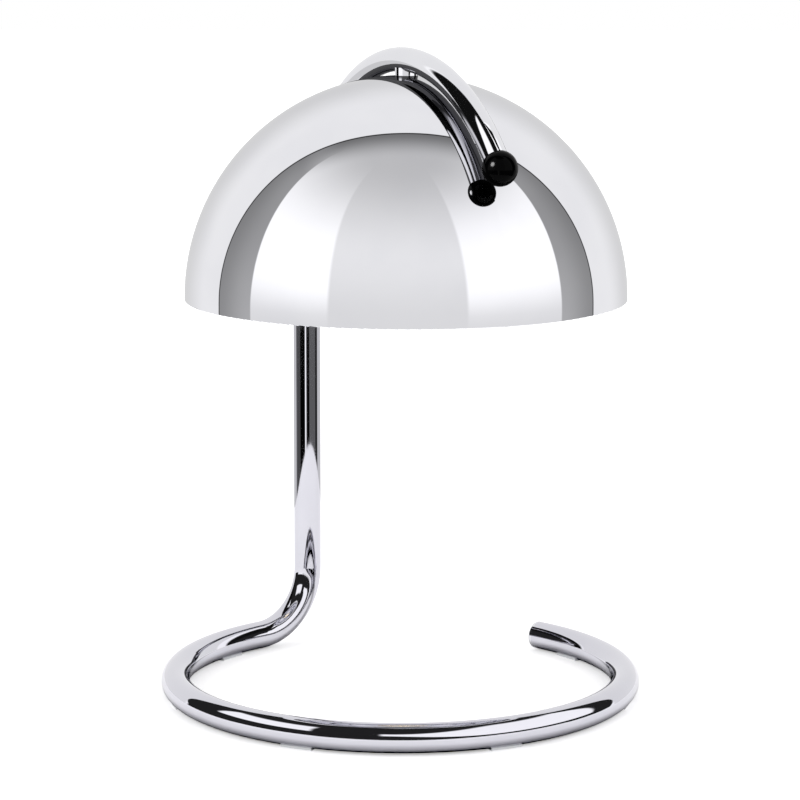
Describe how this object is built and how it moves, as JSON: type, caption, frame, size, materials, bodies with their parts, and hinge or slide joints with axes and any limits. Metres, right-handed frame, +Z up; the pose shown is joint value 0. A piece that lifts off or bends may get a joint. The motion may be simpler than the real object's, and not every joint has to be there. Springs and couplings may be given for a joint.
{
  "type": "candle warmer lamp",
  "caption": "Candle warmer lamp: an open ring of polished tube turns up into a post; a swivelling, height-adjustable arm carries a mirror dome shade and a twist-lock bulb.",
  "frame": {"origin": "centre of the base ring, on the table", "axes": "+Z up; +Y towards the back, where the cord inlet is; +X to the right, seen from the front"},
  "size_m": [0.22, 0.22, 0.296],
  "materials": {
    "polished_tube": "polished chrome plate",
    "polished_cap": "polished chrome plate",
    "clear_pad": "soft translucent silicone",
    "black_nylon": "matt black nylon",
    "cord_sheath": "matt black sheath",
    "white_washer": "slippery white plastic",
    "satin_collar": "satin steel",
    "black_screw": "blackened steel",
    "polished_arm": "polished chrome plate",
    "pale_grommet": "natural nylon",
    "arm_cord_sheath": "matt black sheath",
    "gloss_black_ball": "glossy black",
    "polished_spacer": "polished chrome plate",
    "mirror_shade": "mirror polished chrome plate",
    "thread_brass": "turned brass",
    "zinc_washer": "zinc plated steel",
    "zinc_bracket": "zinc plated steel",
    "spring_steel": "spring steel",
    "nut_brass": "turned brass",
    "pale_bush": "natural nylon",
    "brown_core": "brown silicone",
    "blue_core": "blue silicone",
    "white_ceramic": "glazed white ceramic",
    "contact_brass": "spring brass",
    "zinc_screw": "zinc plated steel",
    "zinc_nut": "zinc plated steel",
    "bulb_ceramic": "unglazed ceramic",
    "pin_nickel": "nickel plated",
    "coated_glass": "mirror coated glass",
    "front_glass": "clear glass",
    "quartz": "clear quartz",
    "tungsten": "drawn tungsten"
  },
  "bodies": {
    "base": {"base_tube": "polished_tube", "end_cap": "polished_cap", "ring_pads": "clear_pad", "cord_bush": "black_nylon", "lower_flex": "cord_sheath", "bearing_washer": "white_washer"},
    "collar": {"stop_collar": "satin_collar", "collar_screw": "black_screw"},
    "arm": {"arm_tube": "polished_arm", "tail_grommet": "pale_grommet", "upper_flex": "arm_cord_sheath", "end_ball": "gloss_black_ball", "neck_spacer": "polished_spacer", "shade": "mirror_shade", "shade_nipple": "thread_brass", "spreader_washer": "zinc_washer", "holder_bracket": "zinc_bracket", "spring_washer": "spring_steel", "nipple_nut": "nut_brass", "nipple_bush": "pale_bush", "live_lead": "brown_core", "neutral_lead": "blue_core", "lamp_holder": "white_ceramic", "holder_contacts": "contact_brass", "holder_screws": "zinc_screw", "holder_nuts": "zinc_nut"},
    "bulb": {"bulb_base": "bulb_ceramic", "bulb_pins": "pin_nickel", "bulb_reflector": "coated_glass", "bulb_lens": "front_glass", "bulb_capsule": "quartz", "bulb_filament": "tungsten"}
  },
  "joints": [
    {"name": "arm_swivel", "type": "hinge", "parent": "base", "child": "collar", "pos_m": [-0.04564, 0.09774, 0.166], "axis": [0, 0, 1], "range_deg": [-30, 30]},
    {"name": "arm_lift", "type": "slide", "parent": "collar", "child": "arm", "axis": [0, 0, 1], "range_m": [0, 0.035]},
    {"name": "bulb_twist", "type": "hinge", "parent": "arm", "child": "bulb", "pos_m": [0.00232, -0.00003, 0.2459], "axis": [0, 0, 1], "range_deg": [-25, 0]}
  ]
}
